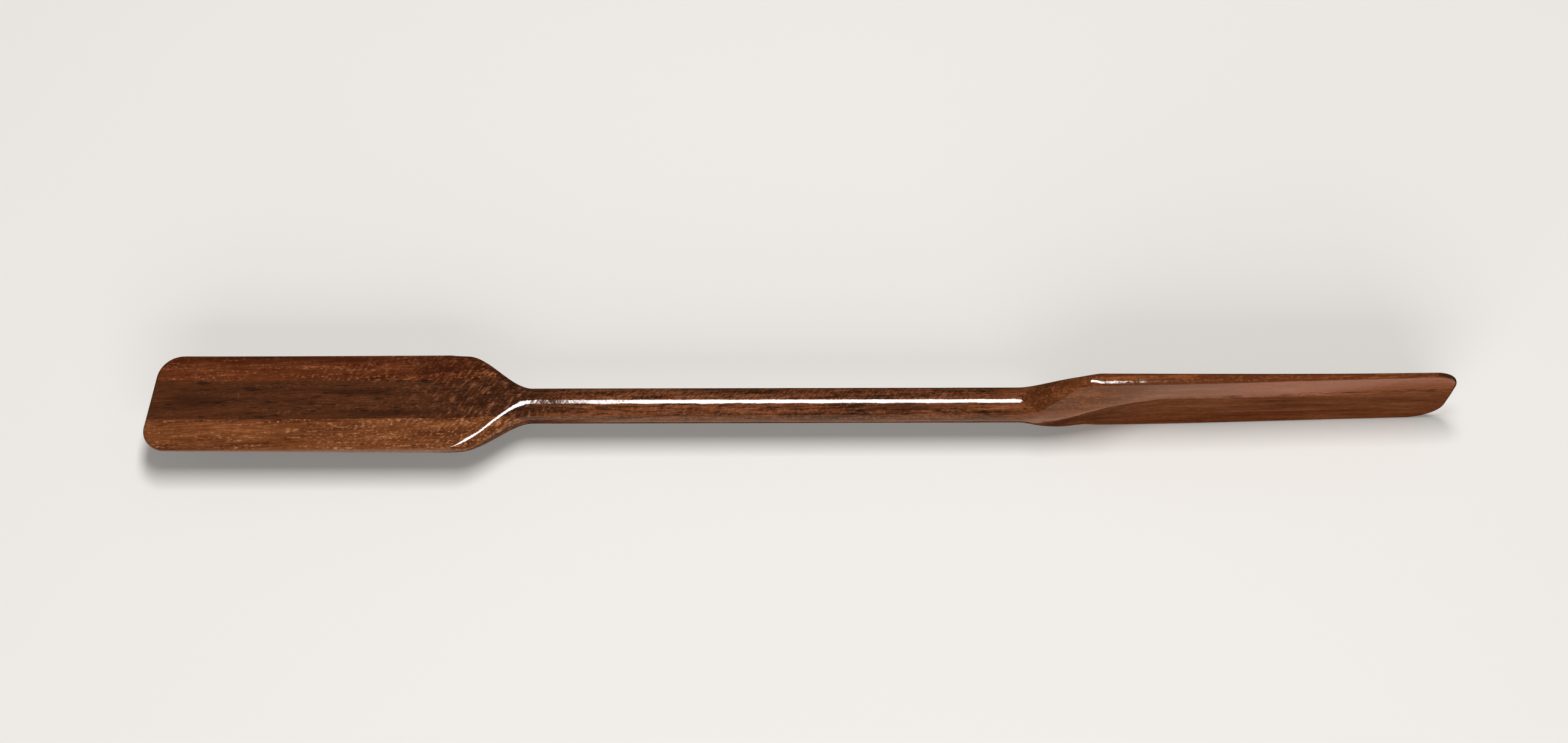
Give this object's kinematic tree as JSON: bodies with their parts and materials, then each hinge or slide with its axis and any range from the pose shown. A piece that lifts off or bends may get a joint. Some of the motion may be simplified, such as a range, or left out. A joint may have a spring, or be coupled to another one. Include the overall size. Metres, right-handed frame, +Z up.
{
  "type": "kayak paddle",
  "caption": "Small wooden double-bladed kayak paddle: one full-length loom with glued-on blade edge strips, right-angle feather.",
  "frame": {"origin": "on the shaft's axis, midway between the two blade tips", "axes": "+X along the shaft towards the right blade, +Z up: the left blade lies flat with its power face up and its long edge towards -Y, the right blade stands on edge with its long edge up and its power face towards +Y"},
  "size_m": [0.3048, 0.0238, 0.0238],
  "materials": {
    "loom_wood": "dark figured walnut under gloss varnish",
    "long_edge_wood": "medium flecked walnut under gloss varnish",
    "short_edge_wood": "reddish walnut under gloss varnish"
  },
  "bodies": {
    "root": {"loom": "loom_wood", "left_blade_long_edge": "long_edge_wood", "left_blade_short_edge": "short_edge_wood", "right_blade_long_edge": "long_edge_wood", "right_blade_short_edge": "short_edge_wood"}
  },
  "joints": []
}
